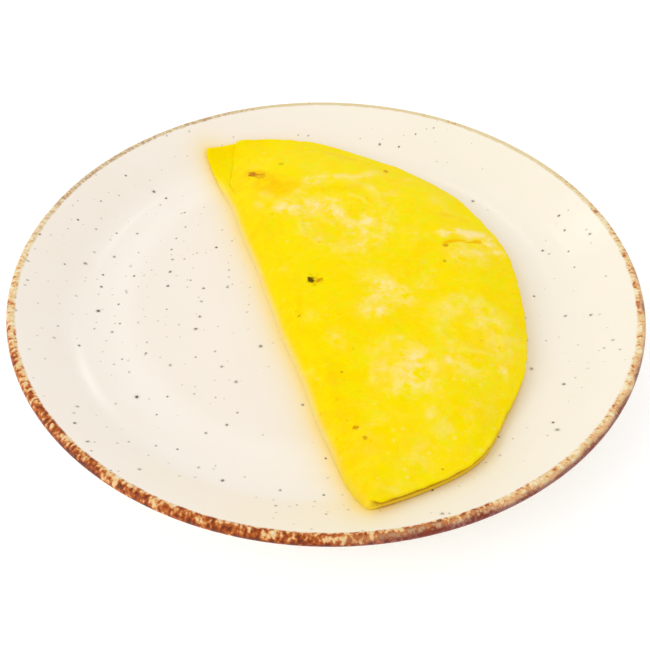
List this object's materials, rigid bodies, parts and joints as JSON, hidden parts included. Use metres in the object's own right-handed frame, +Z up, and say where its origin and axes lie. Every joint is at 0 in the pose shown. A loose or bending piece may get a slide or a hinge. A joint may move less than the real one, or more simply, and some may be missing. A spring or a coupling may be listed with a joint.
{
  "type": "folded omelette on a plate",
  "caption": "Egg omelette folded once into a half-moon, lying on a shallow coupe plate of speckled glazed stoneware with a brown rim.",
  "frame": {"origin": "on the table under the plate's centre", "axes": "+Z up along the plate's axis; +Y towards the far tip's side of the plate, +X towards the omelette's open curved edge, which is square to the fold and so leans 20 degrees from +X"},
  "size_m": [0.26, 0.26, 0.024],
  "materials": {
    "speckled_glaze": "glossy cream glaze with dark specks, brown where it breaks over the rim",
    "cooked_egg": "moist soft-set egg, bright yellow with paler mottling and a few browned spots"
  },
  "bodies": {
    "root": {"plate": "speckled_glaze", "omelette": "cooked_egg"}
  },
  "joints": []
}
